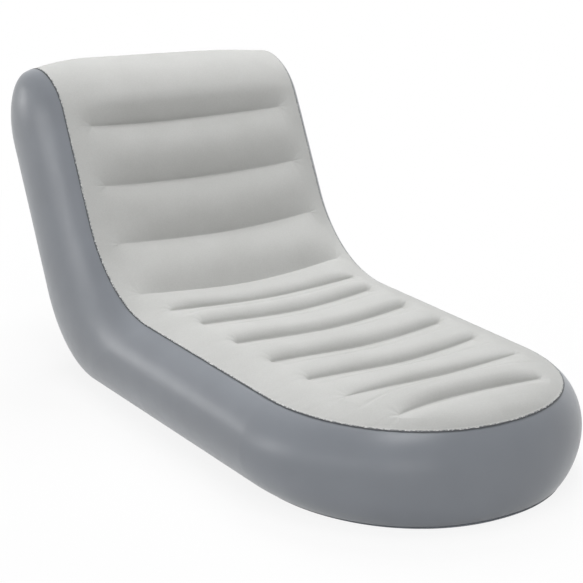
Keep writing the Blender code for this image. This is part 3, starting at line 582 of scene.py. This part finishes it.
class Nodes:
    """Short hand for building a node tree."""

    def __init__(self, tree):
        self.tree = tree

    def add(self, kind, **settings):
        inputs = settings.pop("inputs", {})
        node = self.tree.nodes.new(kind)
        for key, value in settings.items():
            setattr(node, key, value)
        for key, value in inputs.items():
            socket = node.inputs[key]
            if isinstance(value, bpy.types.NodeSocket):
                self.tree.links.new(value, socket)
            else:
                socket.default_value = value
        return node

    def math(self, operation, first, second=0.0):
        return self.add("ShaderNodeMath", operation=operation, inputs={0: first, 1: second}).outputs[0]

    def vector(self, operation, first, second=(0, 0, 0)):
        node = self.add("ShaderNodeVectorMath", operation=operation, inputs={0: first, 1: second})
        return node.outputs[0]

    def scale(self, vector, factor):
        node = self.add("ShaderNodeVectorMath", operation="SCALE", inputs={0: vector, "Scale": factor})
        return node.outputs[0]

    def attribute(self, name, kind):
        node = self.add("GeometryNodeInputNamedAttribute", data_type=kind)
        node.inputs["Name"].default_value = name
        return node.outputs["Attribute"]


def geometry_tree(name, sockets):
    tree = bpy.data.node_groups.new(name, "GeometryNodeTree")
    tree.interface.new_socket("Geometry", in_out="INPUT", socket_type="NodeSocketGeometry")
    for label, kind, value in sockets:
        socket = tree.interface.new_socket(label, in_out="INPUT", socket_type=kind)
        if value is not None:
            socket.default_value = value
    tree.interface.new_socket("Geometry", in_out="OUTPUT", socket_type="NodeSocketGeometry")
    nodes = Nodes(tree)
    return tree, nodes, nodes.add("NodeGroupInput"), nodes.add("NodeGroupOutput")


def finish_tree(nodes, geometry, material_socket, output):
    real = nodes.add("GeometryNodeRealizeInstances", inputs={"Geometry": geometry})
    painted = nodes.add("GeometryNodeSetMaterial", inputs={
        "Geometry": real.outputs[0], "Material": material_socket})
    nodes.tree.links.new(painted.outputs[0], output.inputs["Geometry"])


def run_tree(name, mesh, tree, values):
    """The plain mesh that a tree makes of a starting mesh."""
    carrier = bpy.data.objects.new(name, mesh)
    bpy.context.scene.collection.objects.link(carrier)
    modifier = carrier.modifiers.new("maker", "NODES")
    modifier.node_group = tree
    for item in tree.interface.items_tree:
        if item.item_type == "SOCKET" and item.in_out == "INPUT" and item.name in values:
            modifier[item.identifier] = values[item.name]
    bpy.context.view_layer.update()
    made = bpy.data.meshes.new_from_object(carrier.evaluated_get(bpy.context.evaluated_depsgraph_get()))
    bpy.data.objects.remove(carrier)
    made.name = name
    return made


def band_tree():
    """Sweeps the band's section along its stations, held in a chain of points with attributes."""
    tree, nodes, source, output = geometry_tree("side_band_sweep", (
        ("Stations", "NodeSocketInt", 2), ("Steps round", "NodeSocketInt", 48),
        ("Fullness", "NodeSocketFloat", BAND_FULLNESS), ("Inset", "NodeSocketFloat", SHEET),
        ("Start turn", "NodeSocketFloat", 0.02), ("Ripple", "NodeSocketFloat", 0.0005),
        ("Material", "NodeSocketMaterial", None)))
    grid = nodes.add("GeometryNodeMeshGrid", inputs={
        "Vertices X": source.outputs["Stations"], "Vertices Y": source.outputs["Steps round"]})
    index = nodes.add("GeometryNodeInputIndex").outputs[0]
    steps = source.outputs["Steps round"]
    station = nodes.math("FLOOR", nodes.math("DIVIDE", nodes.math("ADD", index, 0.5), steps))
    step = nodes.math("SUBTRACT", index, nodes.math("MULTIPLY", station, steps))
    share = nodes.math("DIVIDE", step, nodes.math("SUBTRACT", steps, 1.0))
    start = source.outputs["Start turn"]
    span = nodes.math("SUBTRACT", pi, nodes.math("MULTIPLY", start, 2.0))
    turn = nodes.math("ADD", start, nodes.math("MULTIPLY", share, span))

    def sample(name, kind):
        node = nodes.add("GeometryNodeSampleIndex", data_type=kind, domain="POINT", inputs={
            "Geometry": source.outputs["Geometry"], "Index": station})
        node.clamp = True
        value = nodes.add("GeometryNodeInputPosition").outputs[0] if name == "position" else \
            nodes.attribute(name, kind)
        nodes.tree.links.new(value, node.inputs["Value"])
        return node.outputs["Value"]

    upper = sample("position", "FLOAT_VECTOR")
    lower = sample("lower", "FLOAT_VECTOR")
    outward = sample("outward", "FLOAT_VECTOR")
    bulge = sample("bulge", "FLOAT")
    half = nodes.scale(nodes.vector("SUBTRACT", upper, lower), 0.5)
    middle = nodes.scale(nodes.vector("ADD", upper, lower), 0.5)
    length = nodes.add("ShaderNodeVectorMath", operation="LENGTH", inputs={0: half}).outputs["Value"]
    direction = nodes.vector("NORMALIZE", half)
    sine, cosine = nodes.math("SINE", turn), nodes.math("COSINE", turn)
    swell = nodes.math("MULTIPLY", bulge, nodes.math("POWER", sine, source.outputs["Fullness"]))
    lean = nodes.math("MULTIPLY", nodes.math("MULTIPLY", bulge, source.outputs["Fullness"]),
                      nodes.math("MULTIPLY", nodes.math("SQRT", sine), cosine))
    normal = nodes.vector("NORMALIZE", nodes.vector(
        "ADD", nodes.scale(outward, nodes.math("MULTIPLY", length, sine)), nodes.scale(direction, lean)))
    place = nodes.vector("ADD", nodes.vector("ADD", middle, nodes.scale(half, cosine)),
                         nodes.scale(outward, swell))
    noise = nodes.add("ShaderNodeTexNoise", inputs={"Vector": place, "Scale": 9.0, "Detail": 1.0})
    small = nodes.math("MULTIPLY", nodes.math("SUBTRACT", noise.outputs[0], 0.5), source.outputs["Ripple"])
    small = nodes.math("MULTIPLY", small, nodes.math("MULTIPLY", sine, 2.0))
    place = nodes.vector("ADD", place, nodes.scale(
        normal, nodes.math("SUBTRACT", small, source.outputs["Inset"])))
    moved = nodes.add("GeometryNodeSetPosition", inputs={
        "Geometry": grid.outputs["Mesh"], "Position": place})
    smooth = nodes.add("GeometryNodeSetShadeSmooth", inputs={"Geometry": moved.outputs[0]})
    finish_tree(nodes, smooth.outputs[0], source.outputs["Material"], output)
    return tree


def station_chain(name, positions, **attributes):
    mesh = bpy.data.meshes.new(name)
    edges = np.stack([np.arange(len(positions) - 1), np.arange(1, len(positions))], axis=1)
    mesh.from_pydata(positions.tolist(), edges.tolist(), [])
    for key, value in attributes.items():
        kind = "FLOAT" if value.ndim == 1 else "FLOAT_VECTOR"
        field = "value" if value.ndim == 1 else "vector"
        mesh.attributes.new(key, kind, "POINT").data.foreach_set(field, value.astype(np.float32).ravel())
    return mesh


MIRROR = np.array([-1.0, 1.0, 1.0])


def both_sides(points):
    """A right-hand line from the foot's tip, continued from the left-hand one."""
    return np.vstack([points[:0:-1] * MIRROR, points])


def make_side_band(outline, material):
    bulge = np.concatenate([outline.bulge[:0:-1], outline.bulge])
    chain = station_chain("band_stations", both_sides(outline.upper), lower=both_sides(outline.lower),
                          outward=both_sides(outline.outward), bulge=bulge)
    mesh = run_tree("side_band_skin", chain, band_tree(), {
        "Stations": len(bulge), "Steps round": 46, "Inset": SHEET + GAP, "Material": material})
    builder = bmesh.new()
    builder.from_mesh(mesh)
    bmesh.ops.remove_doubles(builder, verts=builder.verts, dist=1e-6)
    bmesh.ops.recalc_face_normals(builder, faces=builder.faces)
    sample = max(builder.faces, key=lambda face: face.calc_center_median().x)
    if sample.normal.x < 0:
        bmesh.ops.reverse_faces(builder, faces=builder.faces)
    for vertex in builder.verts:
        vertex.co.z = max(vertex.co.z, BAND_CLEAR)
    builder.to_mesh(mesh)
    builder.free()
    mesh.shade_smooth()
    return add_piece("side_band_skin", mesh, material)


def edge_tree():
    """Narrow strip extruded along the seam, with a frayed outer line."""
    tree, nodes, source, output = geometry_tree("raw_edge", (
        ("Width", "NodeSocketFloat", 0.0016), ("Fray", "NodeSocketFloat", 0.0012),
        ("Thickness", "NodeSocketFloat", 0.0008), ("Grain", "NodeSocketFloat", 380.0),
        ("Material", "NodeSocketMaterial", None)))
    place = nodes.add("GeometryNodeInputPosition").outputs[0]
    noise = nodes.add("ShaderNodeTexNoise", inputs={
        "Vector": place, "Scale": source.outputs["Grain"], "Detail": 2.0})
    fray = nodes.math("MULTIPLY", nodes.math("SUBTRACT", noise.outputs[0], 0.42), source.outputs["Fray"])
    reach = nodes.math("ADD", source.outputs["Width"], nodes.math("MAXIMUM", fray, -0.0008))
    spread = nodes.add("GeometryNodeExtrudeMesh", mode="EDGES", inputs={
        "Mesh": source.outputs["Geometry"],
        "Offset": nodes.scale(nodes.attribute("out", "FLOAT_VECTOR"), reach)})
    down = nodes.scale(nodes.attribute("down", "FLOAT_VECTOR"), source.outputs["Thickness"])
    rim = nodes.add("GeometryNodeExtrudeMesh", mode="EDGES", inputs={
        "Mesh": spread.outputs["Mesh"], "Selection": spread.outputs["Top"], "Offset": down})
    finish_tree(nodes, rim.outputs["Mesh"], source.outputs["Material"], output)
    return tree


def resample(points, pitch, *others):
    """The lines again at an even pitch along the first of them."""
    lengths = np.concatenate([[0.0], np.cumsum(np.linalg.norm(np.diff(points, axis=0), axis=1))])
    spots = np.linspace(0, lengths[-1], int(lengths[-1] / pitch) + 1)
    return [np.stack([np.interp(spots, lengths, column) for column in line.T], axis=1)
            for line in (points, *others)]


def make_seam_strip(outline, name, lift, settings):
    """Runs round the top sheet's lap, from the rear seam on the left to the rear seam on the right."""
    inner, normal = outline.lap_line(LAP - STRIP_INSIDE, -lift)
    outer, _ = outline.lap_line(LAP + STRIP_OUTSIDE, -lift)
    keep = outline.along <= outline.rear_seam
    inner, outer, normal = both_sides(inner[keep]), both_sides(outer[keep]), both_sides(normal[keep])
    away = outer - inner
    away = away / np.maximum(np.linalg.norm(away, axis=1)[:, None], 1e-5)
    inner, away, normal = resample(inner, 0.0011, away, normal)
    chain = station_chain(name + "_line", inner, out=away, down=-normal)
    mesh = run_tree(name, chain, edge_tree(), settings)
    droop_mesh(mesh)
    return add_piece(name, mesh, settings["Material"])


# ---------------------------------------------------------------- materials

def make_material(name, colour, roughness, specular=0.5):
    material = bpy.data.materials.new(name)
    material.use_nodes = True
    nodes = Nodes(material.node_tree)
    shader = material.node_tree.nodes["Principled BSDF"]
    shader.inputs["Base Color"].default_value = (*colour, 1)
    shader.inputs["Roughness"].default_value = roughness
    shader.inputs["Specular IOR Level"].default_value = specular
    place = nodes.add("ShaderNodeTexCoord").outputs["Object"]
    return material, nodes, shader, place


def noise_at(nodes, place, scale, detail=2.0, roughness=0.5):
    return nodes.add("ShaderNodeTexNoise", inputs={
        "Vector": place, "Scale": scale, "Detail": detail, "Roughness": roughness}).outputs[0]


def tinted(nodes, factor, dark, light):
    mix = nodes.add("ShaderNodeMix", data_type="RGBA", inputs={0: factor, 6: (*dark, 1), 7: (*light, 1)})
    return mix.outputs[2]


def stretch(nodes, value, low, high, start=0.0, end=1.0):
    return nodes.add("ShaderNodeMapRange", inputs={
        "Value": value, "From Min": low, "From Max": high, "To Min": start, "To Max": end}).outputs[0]


def bumped(nodes, shader, height, distance, strength):
    bump = nodes.add("ShaderNodeBump", inputs={
        "Height": height, "Distance": distance, "Strength": strength})
    nodes.tree.links.new(bump.outputs[0], shader.inputs["Normal"])


def flock_material():
    """Short flock: matte, a little sheen, fine speckle and faint brushed patches; flatter on the welds."""
    material, nodes, shader, place = make_material("flock", (0.60, 0.60, 0.59), 0.95, 0.15)
    patches = noise_at(nodes, place, 9.0, 3.0, 0.55)
    fibres = noise_at(nodes, place, 900.0, 2.0, 0.6)
    grain = noise_at(nodes, place, 260.0, 2.0, 0.6)
    base = tinted(nodes, stretch(nodes, patches, 0.3, 0.7), (0.580, 0.583, 0.568), (0.615, 0.618, 0.604))
    speckle = stretch(nodes, nodes.math("ADD", nodes.math("MULTIPLY", fibres, 0.6),
                                        nodes.math("MULTIPLY", grain, 0.4)), 0.3, 0.7, 0.93, 1.05)
    colour = nodes.add("ShaderNodeMix", data_type="RGBA", blend_type="MULTIPLY", inputs={
        0: 1.0, 6: base, 7: nodes.add("ShaderNodeCombineColor", inputs={
            0: speckle, 1: speckle, 2: speckle}).outputs[0]})
    weld = nodes.add("ShaderNodeAttribute", attribute_name="weld").outputs["Fac"]
    mixed = nodes.add("ShaderNodeMix", data_type="RGBA", inputs={
        0: nodes.math("MULTIPLY", weld, 0.35), 6: colour.outputs[2], 7: (0.63, 0.632, 0.618, 1)})
    nodes.tree.links.new(mixed.outputs[2], shader.inputs["Base Color"])
    shader.inputs["Sheen Weight"].default_value = 0.20
    shader.inputs["Sheen Roughness"].default_value = 0.45
    height = nodes.math("MULTIPLY", fibres, nodes.math("SUBTRACT", 1.0, nodes.math("MULTIPLY", weld, 0.6)))
    bumped(nodes, shader, height, 0.0004, 0.35)
    return material


def vinyl_material(name, colour, roughness):
    """Film with a faint grain and slow changes of tone and gloss."""
    material, nodes, shader, place = make_material(name, colour, roughness)
    clouds = noise_at(nodes, place, 6.0, 2.0)
    dark = tuple(0.96 * c for c in colour)
    light = tuple(min(1.04 * c, 1) for c in colour)
    nodes.tree.links.new(tinted(nodes, stretch(nodes, clouds, 0.35, 0.65), dark, light),
                         shader.inputs["Base Color"])
    wear = noise_at(nodes, place, 40.0, 3.0, 0.6)
    nodes.tree.links.new(stretch(nodes, wear, 0.3, 0.7, roughness - 0.03, roughness + 0.04),
                         shader.inputs["Roughness"])
    grain = noise_at(nodes, place, 1400.0, 2.0, 0.5)
    bumped(nodes, shader, grain, 0.00008, 0.25)
    return material


def edge_material():
    """Cut edge of the flocked sheet: light flock with dark flecks of film."""
    material, nodes, shader, place = make_material("raw_edge", (0.66, 0.66, 0.64), 0.8, 0.2)
    flecks = noise_at(nodes, place, 210.0, 2.0, 0.6)
    colour = tinted(nodes, stretch(nodes, flecks, 0.40, 0.62), (0.30, 0.31, 0.32), (0.84, 0.84, 0.82))
    nodes.tree.links.new(colour, shader.inputs["Base Color"])
    bumped(nodes, shader, flecks, 0.0003, 0.5)
    return material


# ---------------------------------------------------------------- studio

def backdrop_rays(nodes):
    """1 for the rays that see the plain white backdrop instead of its light."""
    path = nodes.add("ShaderNodeLightPath")
    seen = nodes.math("MAXIMUM", path.outputs["Is Camera Ray"], path.outputs["Is Glossy Ray"])
    return nodes.math("MAXIMUM", seen, path.outputs["Is Transmission Ray"])


def make_studio():
    floor_mesh = bpy.data.meshes.new("floor")
    size = FLOOR_HALF_SIZE
    corners = [(-size, -size, 0), (size, -size, 0), (size, size, 0), (-size, size, 0)]
    floor_mesh.from_pydata(corners, [], [(0, 1, 2, 3)])
    material, nodes, shader, place = make_material("floor", (0.90, 0.90, 0.90), 0.9, 0.0)
    away = nodes.add("ShaderNodeVectorMath", operation="LENGTH", inputs={0: place}).outputs["Value"]
    glow = nodes.add("ShaderNodeEmission", inputs={"Color": (1, 1, 1, 1), "Strength": 1.0})
    white = stretch(nodes, away, SHADOW_END, WHITE_START, SHADOW_WHITE, 1.0)
    share = nodes.math("MULTIPLY", backdrop_rays(nodes), white)
    plain = nodes.add("ShaderNodeMixShader", inputs={0: share, 1: shader.outputs[0], 2: glow.outputs[0]})
    surface = material.node_tree.nodes["Material Output"].inputs["Surface"]
    material.node_tree.links.new(plain.outputs[0], surface)
    floor = add_piece("floor", floor_mesh, material)
    floor.location.z = -FLOOR_DROP
    world = bpy.data.worlds.new("studio")
    bpy.context.scene.world = world
    world.use_nodes = True
    tree = Nodes(world.node_tree)
    background = world.node_tree.nodes["Background"]
    strength = tree.math("ADD", FILL, tree.math("MULTIPLY", backdrop_rays(tree), 1 - FILL))
    background.inputs["Color"].default_value = (1, 1, 1, 1)
    world.node_tree.links.new(strength, background.inputs["Strength"])


def aimed(piece, target, way, distance):
    """Places a lamp or camera that way from its target, looking back at it."""
    bpy.context.scene.collection.objects.link(piece)
    piece.location = target + way * distance
    piece.rotation_mode = "QUATERNION"
    piece.rotation_quaternion = (-way).to_track_quat("-Z", "Y")
    return piece


def direction(heading, height):
    """Unit vector at a heading, counted from the foot towards the right, and a height angle."""
    return Vector((sin(heading) * cos(height), -cos(heading) * cos(height), sin(height)))


def make_lamps():
    """Softboxes round the lounger: name, heading and height in degrees, width, depth and power."""
    for name, heading, height, width, depth, power in (
            ("overhead", 0, 90, 3.5, 3.5, 228), ("front_high", -32, 52, 3.2, 3.2, 130),
            ("right_high", 103, 52, 3.2, 3.2, 50), ("back_right_high", 148, 52, 3.2, 3.2, 240),
            ("left_strip", -112, 7, 2.4, 2.0, 36), ("back_left_low", -146, 7, 1.5, 1.5, 24),
            ("left_low", -116, 5, 3.6, 1.0, 8), ("corner_low", -72, 8, 5.0, 1.4, 24),
            ("front_low", -29, 5, 3.6, 1.0, 26)):
        data = bpy.data.lights.new(name, "AREA")
        data.shape = "RECTANGLE"
        data.size, data.size_y = width, depth
        data.energy = power
        way = direction(radians(heading), radians(height))
        aimed(bpy.data.objects.new(name, data), LAMP_TARGET, way, LAMP_DISTANCE)


def make_camera():
    data = bpy.data.cameras.new("camera")
    data.sensor_width = SENSOR_WIDTH
    data.lens = SENSOR_WIDTH * FOCAL_SHARE
    back = direction(CAMERA_AZIMUTH, CAMERA_ELEVATION)
    camera = aimed(bpy.data.objects.new("camera", data), CAMERA_TARGET, back, CAMERA_DISTANCE)
    bpy.context.scene.camera = camera


# ---------------------------------------------------------------- the lounger

outline = Outline(solid=Outline(7, (1, 6, 1, 6)))
flock = flock_material()
band_vinyl = vinyl_material("band_vinyl", (0.240, 0.257, 0.285), 0.31)
base_vinyl = vinyl_material("base_vinyl", (0.215, 0.235, 0.265), 0.46)
beam_vinyl = vinyl_material("beam_vinyl", (0.45, 0.46, 0.48), 0.50)
valve_plastic = vinyl_material("valve_plastic", (0.30, 0.32, 0.35), 0.36)
seal_rubber = vinyl_material("seal_rubber", (0.03, 0.03, 0.03), 0.60)
flap_silicone = vinyl_material("flap_silicone", (0.60, 0.60, 0.60), 0.40)
# Painted shade: a near-black vinyl colour for the shadow line under the top sheet's raw edge
seam_shadow_vinyl = vinyl_material("seam_shadow_vinyl", (0.105, 0.112, 0.122), 0.50)
raw_edge = edge_material()

for piece, node, slot in ((make_top_sheet(outline, flock), "top_sheet", "flocked_vinyl"),
                          (make_side_band(outline, band_vinyl), "side_band", "band_vinyl"),
                          (make_base_sheet(outline, base_vinyl), "base_sheet", "base_vinyl")):
    droop_mesh(piece.data)
    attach(piece, "lounger")
    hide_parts(node)

# A dark strip just outside the lap's edge: painted shade standing in for the shadow line under the raw edge
seam_shadow_strip = make_seam_strip(outline, "seam_shadow_line", -0.00005, {
    "Width": 0.0046, "Fray": 0.0020, "Thickness": 0.0004, "Grain": 90.0, "Material": seam_shadow_vinyl})
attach(seam_shadow_strip, "lounger")
edge = make_seam_strip(outline, "raw_edge_strip", 0.0002, {
    "Width": 0.0013, "Fray": 0.0080, "Thickness": 0.0007, "Grain": 190.0, "Material": raw_edge})
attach(edge, "lounger")

finishes = {"valve_base": valve_plastic, "seal_ring": seal_rubber, "valve_body": valve_plastic,
            "flap_spider": valve_plastic, "check_flap": flap_silicone, "stopper_cap": valve_plastic}
for name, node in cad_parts.items():
    node.data.materials.clear()
    node.data.materials.append(finishes.get(name, beam_vinyl))

make_studio()
make_lamps()
make_camera()
bpy.context.scene.view_settings.view_transform = "Standard"
